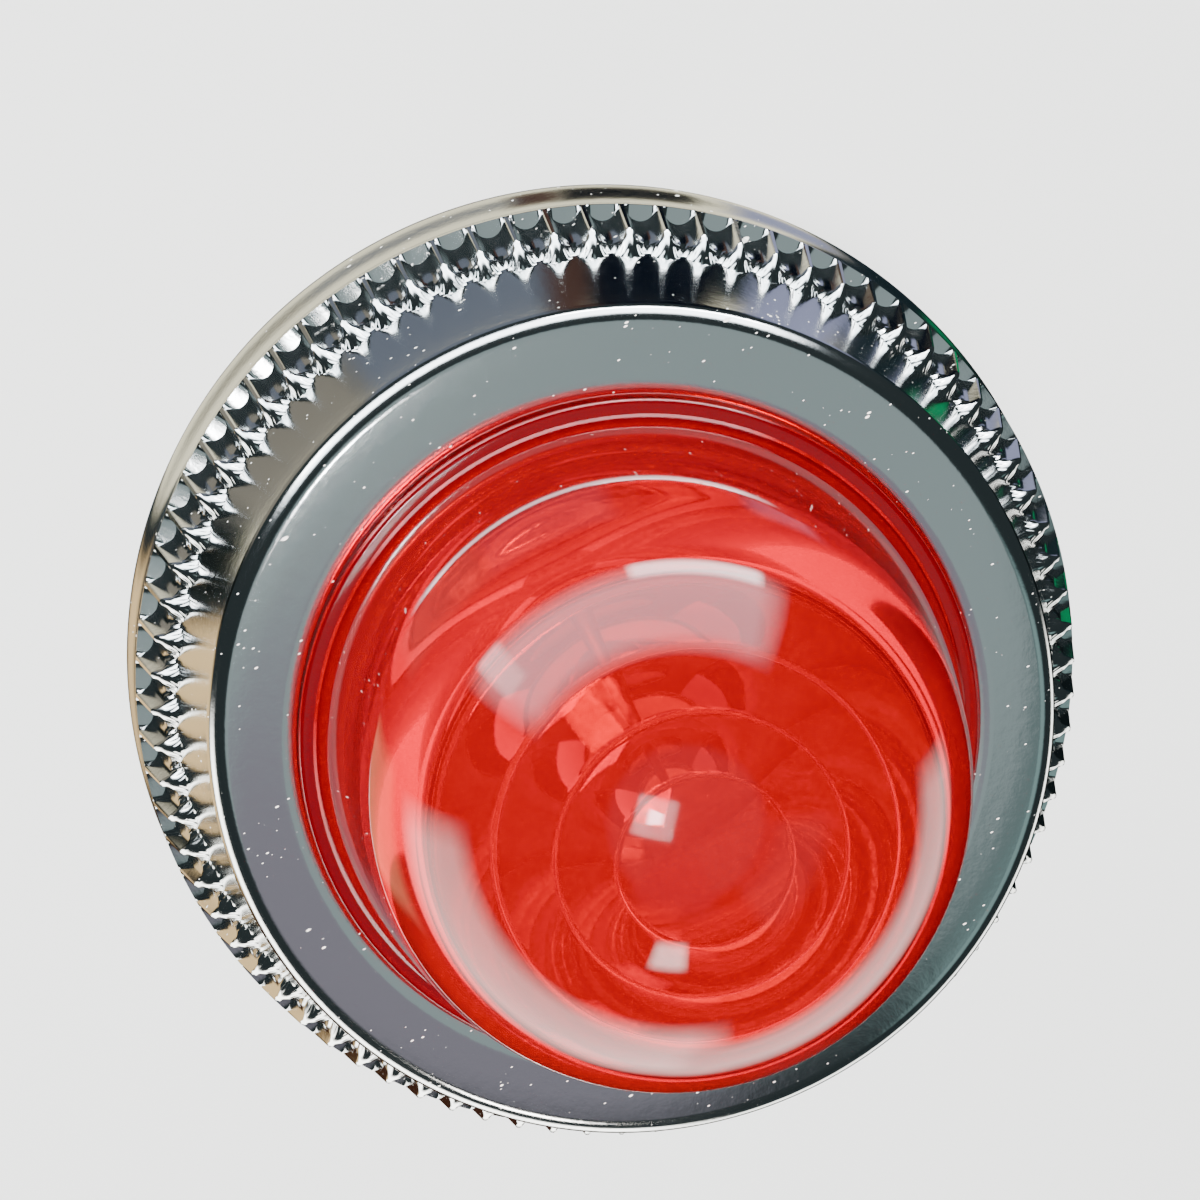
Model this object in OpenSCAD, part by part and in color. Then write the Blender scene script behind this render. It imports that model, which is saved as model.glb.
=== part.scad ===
// Panel pilot light: a knurled screw-on cap with a domed stepped lens, a threaded
// bushing with its nut, a candelabra lamp and a screw socket held on a bracket.
// Millimetres. +Z runs along the axis towards the lens, and the origin is the
// centre of the seat where the light meets the front of its panel.

/* [Knurled cap] */
// Width of the rim outside the cap's thread
rim_w = 4.6; // [4.2:0.1:6]
// Distance from the rim in to the front end of the knurl
grip_inset = 2; // [1.9:0.1:2.3]
// Distance from the rear edge to the face
cap_h = 13.1; // [12.9:0.1:15]
// Distance from the face back to the front end of the knurl
grip_drop = 4.8; // [4.2:0.05:5.2]
// Number of knurl grooves
grooves = 80; // [60:1:88]
// Radius of the round cutter that makes a groove
groove_r = 0.57; // [0.45:0.01:0.6]
// Depth of a groove behind the knurl's front chamfer
groove_depth = 0.62; // [0.5:0.02:0.7]
// Length of a groove along the axis
groove_run = 3.2; // [2:0.1:3.3]
// Length of the conical part of the skirt that carries the knurl
grip_h = 3.3; // [3.2:0.1:3.8]
// How far the conical part of the skirt flares out
grip_flare = 1; // [0.8:0.05:1.2]
// Width of the chamfer at the front end of the knurl
chamfer_w = 1.1; // [0.8:0.05:1.2]
// Length of that chamfer along the axis
chamfer_h = 0.6; // [0.4:0.05:0.7]
// Radius of the shoulder round the face
shoulder_r = 0.8; // [0.4:0.1:1]
// Hollow of the slope between the shoulder and the knurl
slope_sag = 0.12; // [0.08:0.02:0.3]
// Width of the face outside the bore that holds the lens
face_w = 0.3; // [0:0.1:0.6]
// Thickness of the lip in front of the lens flange
lip_t = 1.2; // [1:0.1:1.6]
// Distance from the bore that holds the lens out to the cap's thread
thread_step = 1.1; // [0.9:0.1:1.4]
// Thickness of the ledge behind the snap ring
ledge_h = 1.2; // [1:0.1:1.5]
// Thickness of the gasket under the cap
cap_gasket_t = 0.8; // [0.6:0.1:1.2]
// Distance from the rim in to the edge of the gasket under the cap
cap_gasket_inset = 1; // [0.6:0.1:1.6]

/* [Lens] */
// How far the lens flange reaches outside the collar
lens_flange_w = 1.8; // [1.4:0.1:2.4]
// Thickness of the lens flange
lens_flange_t = 1.7; // [1.4:0.1:1.9]
// Height of the collar above the face
collar_h = 0.6; // [0.4:0.1:1]
// Width of the collar outside the foot of the dome
collar_w = 0.6; // [0.4:0.1:1]
// Height of the dome above the face
dome_h = 14.1; // [13.6:0.1:15]
// How much smaller in radius the dome's round top is than its foot
dome_taper = 1.54; // [1.2:0.02:1.8]
// Thickness of the dome at its foot
lens_wall = 1; // [0.8:0.1:1.3]
// Thickness of the dome's top
dome_wall = 1.8; // [1.5:0.1:2]
// Number of steps inside the dome
lens_steps = 4; // [2:1:4]
// Thickness of the lens gasket
lens_gasket_t = 1; // [0.8:0.1:1.2]
// Distance from the lens's bore out to the lens gasket's bore
lens_gasket_inset = 0.6; // [0.2:0.1:1.2]
// Thickness of the snap ring
ring_t = 0.85; // [0.7:0.05:1]
// Radial width of the snap ring
ring_w = 2.8; // [2:0.1:3.2]
// Depth of the snap ring's groove
ring_groove = 0.8; // [0.5:0.1:0.9]
// Opening of the snap ring
ring_gap = 5; // [3:0.5:8]

/* [Bushing] */
// Distance from the rim of the cap in to the edge of the flange
flange_inset = 0.3; // [0.1:0.1:0.8]
// Thickness of the flange
flange_t = 1.6; // [1.2:0.1:2]
// Diameter of the barrel's thread
barrel_d = 25; // [24.6:0.1:25.4]
// Length of the barrel behind the panel seat
barrel_l = 14; // [13:0.5:16]
// Thickness of the barrel round the bracket
barrel_wall = 1.3; // [1.1:0.1:1.4]
// Length of the bore that holds the bracket
bracket_bore_l = 8; // [7.5:0.5:9]
// Thickness of the neck under the cap's thread
neck_wall = 2.1; // [1.5:0.1:2.6]
// Distance from the neck's top to the ledge inside the cap
neck_gap = 0.8; // [0.5:0.1:1.2]

/* [Panel fixing] */
// Thickness of the panel that the nut is set for
panel_t = 3; // [2.4:0.1:3.6]
// Thickness of the panel gasket
panel_gasket_t = 1; // [0.8:0.1:1.5]
// Distance from the edge of the flange in to the edge of the panel gasket
panel_gasket_inset = 0.5; // [0.2:0.1:1]
// Thickness of the lock washer
washer_t = 0.8; // [0.6:0.1:1]
// Width of the lock washer outside the barrel
washer_w = 2.7; // [2.4:0.1:3]
// Number of teeth on the lock washer
washer_teeth = 16; // [8:1:20]
// Thickness of the nut between the barrel and its flats
nut_wall = 2.6; // [2:0.1:3]
// Length of the nut along the axis
nut_t = 3.6; // [3:0.2:4.4]

/* [Socket] */
// Width of the bracket strap
strap_w = 6.8; // [6:0.1:7.4]
// Thickness of the bracket strap
strap_t = 1; // [0.8:0.1:1.1]
// Distance from the socket body to the bracket's legs
leg_gap = 1.02; // [0.8:0.02:1.4]
// Height of the socket body
socket_h = 20.5; // [20:0.5:21]
// Thickness of the socket body's floor
socket_floor = 4; // [3.6:0.1:4.4]
// Thickness of the screw shell
shell_t = 0.45; // [0.4:0.05:0.6]
// How far the insulator reaches outside the socket body
insulator_w = 0.4; // [0:0.1:0.8]
// Thickness of the insulator behind the bracket
insulator_t = 1.2; // [1:0.1:1.6]
// Distance of the shell eyelet from the axis
eyelet_y = 4.6; // [4.5:0.1:4.7]
// Radius of the shell eyelet
eyelet_r = 0.9; // [0.7:0.1:0.9]
// Radius of the contact plunger's stem
stem_r = 1; // [0.8:0.1:1.1]
// Travel of the contact plunger
plunger_travel = 1; // [0.6:0.1:1.2]
// Length of the contact spring with the lamp in
spring_h = 2.6; // [2.4:0.1:3]
// Diameter of the contact spring's wire
spring_wire = 0.4; // [0.3:0.05:0.45]
// Number of turns of the contact spring
spring_turns = 4; // [3:1:5]
// Diameter of the bracket rivets
rivet_d = 2.4; // [2:0.1:2.6]

/* [Terminals] */
// Thickness of the terminals
terminal_t = 0.8; // [0.6:0.1:1]
// Width of the terminals
terminal_w = 6; // [5:0.2:6.4]
// How far a terminal reaches outside the insulator
terminal_reach = 0.3; // [0:0.1:0.6]
// Length of a terminal behind its insulator
terminal_l = 11.8; // [11:0.2:14]
// Distance from the end of a terminal to its solder eye
eye_inset = 2; // [1.8:0.1:2.4]
// Diameter of the solder eye
eye_d = 1.8; // [1.4:0.1:2]
// Distance from the insulator back to the terminal screw
screw_drop = 5.6; // [5.2:0.1:6]
// Diameter of the terminal screws
screw_d = 2.9; // [2.6:0.1:3]
// Length of a terminal screw under its head
screw_l = 5.4; // [4:0.2:5.6]
// Diameter of a terminal screw's head
screw_head_d = 5.6; // [5:0.1:5.8]
// Height of a terminal screw's head
screw_head_h = 1.8; // [1.4:0.1:1.9]
// Thickness of a wire washer
wire_washer_t = 0.6; // [0.5:0.1:0.7]
// Diameter of a wire washer
wire_washer_d = 6.4; // [5.8:0.1:6.6]

/* [Lamp] */
// Length of the lamp
lamp_l = 47.6; // [45:0.1:49]
// Diameter of the bulb
bulb_d = 18.6; // [18:0.1:19.6]
// Height of the bulb's top above the face of the cap
bulb_rise = 5; // [4.4:0.1:6]
// Height of the bulb's round top
bulb_top_h = 9; // [8:0.2:10]
// Length of the bulb's parallel part
bulb_side_l = 11; // [9:0.5:13]
// Thickness of the glass
glass_t = 0.7; // [0.5:0.1:0.9]
// Diameter of the lamp's base shell
base_d = 11.8; // [11.4:0.1:12.2]
// Length of the lamp's base shell
base_l = 13.6; // [13:0.2:14.4]
// Length of the insulator under the base shell
base_glass_h = 1.8; // [1.4:0.1:2]
// Height of the solder contact
tip_h = 0.7; // [0.5:0.1:0.9]
// Diameter of the solder contact
tip_d = 4.4; // [4:0.1:4.8]
// Length of the glass neck inside the base
neck_l = 3; // [2:0.2:4]

/* [Clearances] */
// Radial clearance of the bulb in the bushing
bulb_gap = 0.9; // [0.6:0.1:1.1]
// Radial clearance of the bulb in the lens
lens_gap = 0.6; // [0.5:0.1:0.8]
// Radial clearance of the lamp's base in the screw shell
base_gap = 0.3; // [0.2:0.05:0.35]
// Radial clearance of a running thread or pin
run_gap = 0.1; // [0.05:0.01:0.1]
// Radial clearance of a loose fit
loose_gap = 0.2; // [0.1:0.05:0.25]
// Clearance where one fixed piece passes through another
pass_gap = 0.05; // [0.02:0.01:0.08]

/* [Hidden] */

// Heights along the axis, from the panel seat forwards
flange_z = panel_gasket_t;
flange_top = flange_z + flange_t;
cap_z = flange_top + cap_gasket_t;
face_z = cap_z + cap_h;
grip_z = face_z - grip_drop;
lip_z = face_z - lip_t;
lens_z = lip_z - lens_flange_t;
lens_gasket_z = lens_z - lens_gasket_t;
ring_z = lens_gasket_z - ring_t;
ledge_z = ring_z - ledge_h;
neck_top = ledge_z - neck_gap;
washer_z = -panel_t - washer_t;
nut_z = washer_z - nut_t;
barrel_z = -barrel_l;

// Heights of the lamp, from its top back to its contact
bulb_top = face_z + bulb_rise;
bulb_side_top = bulb_top - bulb_top_h;
bulb_side_z = bulb_side_top - bulb_side_l;
tip_z = bulb_top - lamp_l;
base_glass_z = tip_z + tip_h;
base_shell_z = base_glass_z + base_glass_h;
base_shell_top = base_shell_z + base_l;
bulb_foot = base_shell_top - neck_l;

// Heights of the socket, from the plunger under the lamp back to the terminals
plunger_head_t = 0.9;
guide_flange_t = 0.4;
plunger_z = tip_z - plunger_head_t;
guide_top = plunger_z - spring_h;
floor_z = guide_top - guide_flange_t;
base_top = floor_z - socket_floor;
base_z = base_top - strap_t;
socket_top = base_top + socket_h;
insulator_z = base_z - insulator_t;
terminal_z = insulator_z - terminal_t;
terminal_end = insulator_z - terminal_l;
screw_z = insulator_z - screw_drop;

// Radii of the lens and the cap, from the bulb outwards
bulb_r = bulb_d / 2;
bore_r = bulb_r + lens_gap;
dome_r = bore_r + lens_wall;
collar_r = dome_r + collar_w;
lens_hole_r = collar_r + run_gap;
seat_r = collar_r + lens_flange_w + loose_gap;
face_r = seat_r + face_w;
ring_groove_r = seat_r + ring_groove;
cap_thread_r = seat_r + thread_step;
rim_r = cap_thread_r + rim_w;
tip_r = rim_r - grip_inset;
slope_r = tip_r - chamfer_w;
skirt_r = tip_r + grip_flare;

// Radii of the bushing, the socket and the lamp's base
bulb_bore_r = bulb_r + bulb_gap;
neck_out_r = cap_thread_r - run_gap;
neck_bore_r = neck_out_r - neck_wall;
flange_r = rim_r - flange_inset;
barrel_r = barrel_d / 2;
bracket_bore_r = barrel_r - barrel_wall;
leg_x = sqrt(pow(bracket_bore_r, 2) - pow(strap_w / 2, 2)) - pass_gap;
socket_r = leg_x - strap_t - leg_gap;
insulator_r = socket_r + insulator_w;
terminal_y = insulator_r + terminal_reach;
base_r = base_d / 2;
neck_inset = 0.5;
neck_r = base_r - neck_inset;
shell_in_r = base_r + base_gap;
shell_out_r = shell_in_r + shell_t;
guide_wall = 0.6;
guide_r = stem_r + guide_wall;
fine = 96;
round_fn = 48;
// How far a cut runs past the piece it goes through
cut_past = 2;

function arc(cx, cz, r, from, to, n) =
    [for (i = [0:n]) let (a = from + (to - from) * i / n) [cx + r * cos(a), cz + r * sin(a)]];

// A ring of rectangular section, from height z0 to height z1
module ring(inner, outer, z0, z1) {
    rotate_extrude($fn = fine)
        polygon([[inner, z0], [outer, z0], [outer, z1], [inner, z1]]);
}

// ---------------------------------------------------------------- knurled cap

rim_edge = 0.3;
rim_h = 1;
shoulder_end = 20;
slope_points = 4;
skirt_points = 4;

function cap_slope() =
    let (
        top = [face_r + shoulder_r * cos(shoulder_end), face_z - shoulder_r + shoulder_r * sin(shoulder_end)],
        foot = [slope_r, grip_z]
    )
    [for (i = [1:slope_points]) let (t = i / slope_points)
        top + (foot - top) * t - [slope_sag * 4 * t * (1 - t), 0]];

function cap_skirt() =
    let (z0 = grip_z - grip_h, z1 = cap_z + rim_h)
    [for (i = [0:skirt_points]) let (t = i / skirt_points)
        [skirt_r + (rim_r - skirt_r) * sin(90 * t), z0 + (z1 - z0) * t]];

module cap_profile() {
    polygon(concat(
        [[lens_hole_r, face_z]],
        arc(face_r, face_z - shoulder_r, shoulder_r, 90, shoulder_end, 4),
        cap_slope(),
        [[tip_r - chamfer_w / 3, grip_z - chamfer_h / 3], [tip_r, grip_z - chamfer_h]],
        cap_skirt(),
        [[rim_r, cap_z + rim_edge], [rim_r - rim_edge, cap_z]],
        [[cap_thread_r, cap_z], [cap_thread_r, ledge_z]],
        [[seat_r, ledge_z], [seat_r, ring_z - pass_gap]],
        [[ring_groove_r, ring_z - pass_gap], [ring_groove_r, lens_gasket_z + pass_gap]],
        [[seat_r, lens_gasket_z + pass_gap], [seat_r, lip_z], [lens_hole_r, lip_z]]
    ));
}

// One groove: a round cutter that follows the skirt and stops square across it
module knurl_groove() {
    lean = atan(grip_flare / (grip_h - chamfer_h));
    front_r = tip_r - groove_depth - chamfer_h * tan(lean);
    lead = 0.3;
    run = groove_run / cos(lean);
    translate([front_r + groove_r / cos(lean), 0, grip_z])
        rotate([0, 180 - lean, 0])
            translate([0, 0, -lead])
                cylinder(r = groove_r, h = lead + run, $fn = 24);
}

module bezel() {
    color([0.80, 0.82, 0.84])
        difference() {
            rotate_extrude($fn = fine)
                cap_profile();
            for (i = [0:grooves - 1])
                rotate([0, 0, (i + 0.5) * 360 / grooves])
                    knurl_groove();
        }
}

// ----------------------------------------------------------------------- lens

collar_z = face_z + collar_h;
dome_top_r = dome_r - dome_taper;
dome_c = face_z + dome_h - dome_top_r;
vault_r = dome_top_r - dome_wall;
first_step = 0.29;
last_step = 0.867;
collar_edge = 0.2;
riser_share = 0.6;

// Angle at which the tapered side from (r, z) runs into a round top of radius top_r
function taper_angle(r, z, top_r) =
    -atan2(dome_c - z, r) + acos(top_r / norm([r, dome_c - z]));

function vault_z(r) = dome_c + sqrt(vault_r * vault_r - r * r);

// Radius of step i: shares of the vault's radius, evenly spread from the first to the last
function step_r(i) = i == 0 ? 0 :
    vault_r * (first_step + (last_step - first_step) * (i - 1) / (lens_steps - 1));

// The stepped vault inside the dome, from the outermost step to the axis
function lens_vault() = [
    for (i = [lens_steps:-1:1])
        for (k = [0, 1])
            let (low = vault_z(step_r(i)), high = vault_z(step_r(i - 1)))
            [step_r(i), low + k * riser_share * (high - low)]
];

module lens() {
    outer_a = taper_angle(dome_r, collar_z, dome_top_r);
    inner_a = taper_angle(bore_r, collar_z, vault_r);
    vault_a = acos(last_step);
    step_corner = 3;
    color([0.80, 0.02, 0.06, 0.75])
        rotate_extrude($fn = fine)
            polygon(concat(
                [[bore_r, lens_z], [seat_r - loose_gap, lens_z], [seat_r - loose_gap, lip_z]],
                [[collar_r, lip_z], [collar_r, collar_z - collar_edge]],
                [[collar_r - collar_edge, collar_z], [dome_r, collar_z]],
                arc(0, dome_c, dome_top_r, outer_a, 90, 14),
                [[0, vault_z(0)]],
                [for (p = [len(lens_vault()) - 1:-1:0]) lens_vault()[p]],
                arc(0, dome_c, vault_r, vault_a - step_corner, inner_a, 3),
                [[bore_r, collar_z]]
            ));
}

module lens_gasket() {
    color([0.12, 0.12, 0.12])
        ring(bore_r + lens_gasket_inset, seat_r - loose_gap, lens_gasket_z, lens_z);
}

module lens_snap_ring() {
    outer = ring_groove_r - run_gap;
    color([0.55, 0.56, 0.58])
        difference() {
            ring(outer - ring_w, outer, ring_z, lens_gasket_z);
            translate([0, -ring_gap / 2, ring_z - cut_past])
                cube([outer + cut_past, ring_gap, ring_t + 2 * cut_past]);
        }
}

module cap_gasket() {
    color([0.10, 0.10, 0.10])
        ring(cap_thread_r + loose_gap, rim_r - cap_gasket_inset, flange_top, cap_z);
}

// -------------------------------------------------------------------- bushing

rivet_r = rivet_d / 2;
rivet_inset = 3.5;
rivet_z = barrel_z + rivet_inset;
neck_floor_t = 1;
thread_edge = 0.4;

module bushing() {
    bracket_bore_top = barrel_z + bracket_bore_l;
    color([0.78, 0.78, 0.74])
        difference() {
            rotate_extrude($fn = fine)
                polygon([
                    [bulb_bore_r, flange_top + neck_floor_t], [neck_bore_r, flange_top + neck_floor_t],
                    [neck_bore_r, neck_top], [neck_out_r - thread_edge, neck_top],
                    [neck_out_r, neck_top - thread_edge], [neck_out_r, flange_top],
                    [flange_r, flange_top], [flange_r, flange_z],
                    [barrel_r, flange_z], [barrel_r, barrel_z + thread_edge],
                    [barrel_r - thread_edge, barrel_z], [bracket_bore_r, barrel_z],
                    [bracket_bore_r, bracket_bore_top], [bulb_bore_r, bracket_bore_top]
                ]);
            translate([0, 0, rivet_z])
                rotate([0, 90, 0])
                    cylinder(r = rivet_r + pass_gap, h = 2 * rim_r, center = true, $fn = round_fn);
        }
}

module panel_gasket() {
    color([0.13, 0.13, 0.13])
        ring(barrel_r + loose_gap, flange_r - panel_gasket_inset, 0, flange_z);
}

module lock_washer() {
    inner = barrel_r + loose_gap;
    tooth_l = 1.4;
    tooth_w = 2.6;
    tooth_root = 0.5;
    color([0.62, 0.63, 0.62])
        translate([0, 0, washer_z])
            linear_extrude(washer_t)
                difference() {
                    union() {
                        difference() {
                            circle(r = barrel_r + washer_w, $fn = fine);
                            circle(r = inner + tooth_l, $fn = fine);
                        }
                        for (i = [0:washer_teeth - 1])
                            rotate((i + 0.5) * 360 / washer_teeth)
                                translate([inner - tooth_root, -tooth_w / 2])
                                    square([tooth_l + 2 * tooth_root, tooth_w]);
                    }
                    circle(r = inner, $fn = fine);
                }
}

module mounting_nut() {
    flat_r = barrel_r + nut_wall;
    corner_r = flat_r / cos(30);
    bevel = 0.7;
    color([0.72, 0.72, 0.70])
        difference() {
            intersection() {
                translate([0, 0, nut_z])
                    cylinder(r = corner_r, h = nut_t, $fn = 6);
                rotate_extrude($fn = fine)
                    polygon([
                        [0, nut_z], [flat_r, nut_z], [corner_r + pass_gap, nut_z + bevel],
                        [corner_r + pass_gap, nut_z + nut_t - bevel], [flat_r, nut_z + nut_t],
                        [0, nut_z + nut_t]
                    ]);
            }
            translate([0, 0, nut_z - cut_past])
                cylinder(r = barrel_r + run_gap, h = nut_t + 2 * cut_past, $fn = fine);
        }
}

// --------------------------------------------------------------------- socket

leg_top_gap = 1;
leg_top = barrel_z + bracket_bore_l - leg_top_gap;
bend_r = 1.6;
boss_wall = 0.7;
boss_r = guide_r + boss_wall;

// The strap's outline from the side: two legs and a base with round bends
module strap_outline(grow) {
    x = leg_x - grow;
    z = base_z + grow;
    bend = bend_r - grow;
    polygon(concat(
        [[-x, leg_top], [x, leg_top]],
        arc(x - bend, z + bend, bend, 0, -90, 6),
        arc(-x + bend, z + bend, bend, -90, -180, 6)
    ));
}

module socket_bracket() {
    color([0.66, 0.67, 0.68])
        difference() {
            rotate([90, 0, 0])
                translate([0, 0, -strap_w / 2])
                    linear_extrude(strap_w)
                        difference() {
                            strap_outline(0);
                            strap_outline(strap_t);
                            translate([-leg_x + strap_t, leg_top - cut_past])
                                square([2 * (leg_x - strap_t), 2 * cut_past]);
                        }
            translate([0, 0, base_z - cut_past])
                cylinder(r = boss_r + pass_gap, h = strap_t + 2 * cut_past, $fn = round_fn);
            translate([0, 0, rivet_z])
                rotate([0, 90, 0])
                    cylinder(r = rivet_r + pass_gap, h = 2 * rim_r, center = true, $fn = round_fn);
        }
}

module bracket_rivets() {
    head_r = rivet_r + 0.8;
    head_t = 0.7;
    end_inset = 0.3;
    color([0.70, 0.70, 0.68])
        for (side = [0, 180])
            rotate([0, 0, side])
                translate([leg_x - strap_t, 0, rivet_z])
                    rotate([0, 90, 0]) {
                        cylinder(r = rivet_r, h = barrel_r - end_inset - leg_x + strap_t, $fn = round_fn);
                        translate([0, 0, -head_t])
                            cylinder(r = head_r, h = head_t, $fn = round_fn);
                    }
}

module socket_body() {
    socket_bore_r = shell_out_r + run_gap;
    foot_edge = 0.6;
    color([0.20, 0.13, 0.09])
        difference() {
            rotate_extrude($fn = fine)
                polygon([
                    [guide_r + pass_gap, base_top], [socket_r - foot_edge, base_top],
                    [socket_r, base_top + foot_edge], [socket_r, socket_top],
                    [socket_bore_r, socket_top], [socket_bore_r, floor_z],
                    [guide_r + pass_gap, floor_z]
                ]);
            translate([0, eyelet_y, base_top - cut_past])
                cylinder(r = eyelet_r + pass_gap, h = socket_floor + 2 * cut_past, $fn = round_fn);
        }
}

// Half the width of the tab under the screw shell, and its thickness
tab_w = 2;
tab_t = 0.6;
tab_edge = 0.5;
tab_reach = eyelet_y - eyelet_r - tab_edge;
shell_foot_h = 1.2;
shell_foot = floor_z + shell_foot_h;

module screw_shell() {
    lip_r = socket_r - 0.6;
    lip_h = 0.5;
    bite = 0.2;
    tab_l = sqrt(shell_in_r * shell_in_r - tab_w * tab_w) + bite - tab_reach;
    color([0.80, 0.65, 0.30])
        difference() {
            union() {
                rotate_extrude($fn = fine)
                    polygon([
                        [shell_in_r, shell_foot], [shell_out_r, shell_foot], [shell_out_r, socket_top],
                        [lip_r, socket_top], [lip_r, socket_top + lip_h], [shell_in_r, socket_top + lip_h]
                    ]);
                intersection() {
                    ring(shell_in_r, shell_out_r, floor_z, shell_foot + bite);
                    translate([-tab_w, 0, floor_z])
                        cube([2 * tab_w, shell_out_r, 2 * shell_foot_h]);
                }
                translate([-tab_w, tab_reach, floor_z])
                    cube([2 * tab_w, tab_l, tab_t]);
            }
            translate([0, eyelet_y, floor_z - cut_past])
                cylinder(r = eyelet_r + pass_gap, h = 2 * cut_past, $fn = round_fn);
        }
}

module shell_eyelet() {
    head_r = eyelet_r + 0.4;
    head_t = 0.3;
    top = floor_z + tab_t;
    color([0.78, 0.62, 0.28])
        translate([0, eyelet_y, 0])
            rotate_extrude($fn = round_fn)
                polygon([
                    [0, terminal_z - head_t], [head_r, terminal_z - head_t], [head_r, terminal_z],
                    [eyelet_r, terminal_z], [eyelet_r, top], [head_r, top],
                    [head_r, top + head_t], [0, top + head_t]
                ]);
}

module contact_guide() {
    guide_flange_w = 0.8;
    guide_flange_r = guide_r + guide_flange_w;
    color([0.78, 0.62, 0.28])
        rotate_extrude($fn = round_fn)
            polygon([
                [stem_r + pass_gap, terminal_z - guide_flange_t],
                [guide_flange_r, terminal_z - guide_flange_t],
                [guide_flange_r, terminal_z], [guide_r, terminal_z],
                [guide_r, floor_z], [guide_flange_r, floor_z],
                [guide_flange_r, guide_top], [stem_r + pass_gap, guide_top]
            ]);
}

module contact_plunger() {
    head_r = 2.6;
    head_edge = 0.3;
    stem_out = 0.6;
    stem_l = plunger_z - terminal_z - plunger_travel + stem_out;
    color([0.82, 0.68, 0.34])
        rotate_extrude($fn = round_fn)
            polygon([
                [0, plunger_z - stem_l], [stem_r, plunger_z - stem_l], [stem_r, plunger_z],
                [head_r, plunger_z], [head_r, tip_z - head_edge], [head_r - head_edge, tip_z], [0, tip_z]
            ]);
}

// A round wire of the given diameter wound round the plunger's stem
spring_gap = 0.75;
spring_r = stem_r + spring_gap;
spring_sides = 6;
spring_rings = 16 * spring_turns;

function spring_points() = [
    for (i = [0:spring_rings])
        for (s = [0:spring_sides - 1])
            let (
                a = 360 * spring_turns * i / spring_rings,
                c = 360 * s / spring_sides,
                play = 0.02,
                low = guide_top + spring_wire / 2 + play,
                high = plunger_z - spring_wire / 2 - play,
                r = spring_r + spring_wire / 2 * cos(c)
            )
            [r * cos(a), r * sin(a), low + (high - low) * i / spring_rings + spring_wire / 2 * sin(c)]
];

function spring_faces() = concat(
    [[for (s = [0:spring_sides - 1]) s]],
    [for (i = [0:spring_rings - 1])
        for (s = [0:spring_sides - 1])
            let (a = i * spring_sides + s, b = i * spring_sides + (s + 1) % spring_sides)
            [a, a + spring_sides, b + spring_sides, b]],
    [[for (s = [spring_sides - 1:-1:0]) spring_rings * spring_sides + s]]
);

module contact_spring() {
    color([0.60, 0.61, 0.62])
        polyhedron(spring_points(), spring_faces(), convexity = 8);
}

module rear_insulator() {
    color([0.42, 0.24, 0.12])
        difference() {
            rotate_extrude($fn = fine)
                polygon([
                    [guide_r + pass_gap, insulator_z], [insulator_r, insulator_z], [insulator_r, base_z],
                    [boss_r, base_z], [boss_r, base_top - pass_gap], [guide_r + pass_gap, base_top - pass_gap]
                ]);
            translate([0, eyelet_y, insulator_z - cut_past])
                cylinder(r = eyelet_r + pass_gap, h = insulator_t + 2 * cut_past, $fn = round_fn);
        }
}

// ------------------------------------------------------------------ terminals

terminal_split = 0.9;
foot_margin = 0.4;

// A brass strip on the insulator, bent back at terminal_y, with its screw hole and solder eye
module terminal(foot_y, hole_y, hole_r) {
    w = terminal_w / 2;
    color([0.80, 0.64, 0.30])
        difference() {
            union() {
                translate([-w, foot_y, terminal_z])
                    cube([terminal_w, terminal_y - foot_y, terminal_t]);
                translate([-w, terminal_y - terminal_t, terminal_end + w])
                    cube([terminal_w, terminal_t, insulator_z - terminal_end - w]);
                translate([0, terminal_y, terminal_end + w])
                    rotate([90, 0, 0])
                        cylinder(r = w, h = terminal_t, $fn = fine);
            }
            translate([0, hole_y, terminal_z - cut_past])
                cylinder(r = hole_r + pass_gap, h = terminal_t + 2 * cut_past, $fn = round_fn);
            translate([0, terminal_y + cut_past, screw_z])
                rotate([90, 0, 0])
                    cylinder(r = screw_d / 2 + run_gap, h = terminal_t + 2 * cut_past, $fn = round_fn);
            translate([0, terminal_y + cut_past, terminal_end + eye_inset])
                rotate([90, 0, 0])
                    cylinder(d = eye_d, h = terminal_t + 2 * cut_past, $fn = round_fn);
        }
}

module shell_terminal() {
    terminal(eyelet_y - eyelet_r - foot_margin, eyelet_y, eyelet_r);
}

module center_terminal() {
    rotate([0, 0, 180])
        terminal(terminal_split - eyelet_y + eyelet_r + foot_margin, 0, guide_r);
}

module terminal_screw() {
    slot_w = 0.8;
    slot_h = 0.8;
    shank_edge = 0.3;
    head_edge = 0.6;
    shank_r = screw_d / 2;
    head_r = screw_head_d / 2;
    head_y = terminal_y + wire_washer_t;
    color([0.82, 0.70, 0.38])
        difference() {
            translate([0, head_y, screw_z])
                rotate([-90, 0, 0])
                    rotate_extrude($fn = round_fn)
                        polygon([
                            [0, -screw_l], [shank_r - shank_edge, -screw_l],
                            [shank_r, -screw_l + shank_edge], [shank_r, 0],
                            [head_r, 0], [head_r, screw_head_h - head_edge],
                            [head_r - head_edge, screw_head_h], [0, screw_head_h]
                        ]);
            translate([-screw_head_d, head_y + screw_head_h - slot_h, screw_z - slot_w / 2])
                cube([2 * screw_head_d, slot_h + cut_past, slot_w]);
        }
}

module wire_washer() {
    color([0.74, 0.74, 0.70])
        translate([0, terminal_y + wire_washer_t, screw_z])
            rotate([90, 0, 0])
                difference() {
                    cylinder(d = wire_washer_d, h = wire_washer_t, $fn = fine);
                    translate([0, 0, -cut_past])
                        cylinder(r = screw_d / 2 + run_gap, h = wire_washer_t + 2 * cut_past, $fn = round_fn);
                }
}

module shell_screw() {
    terminal_screw();
}

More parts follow.
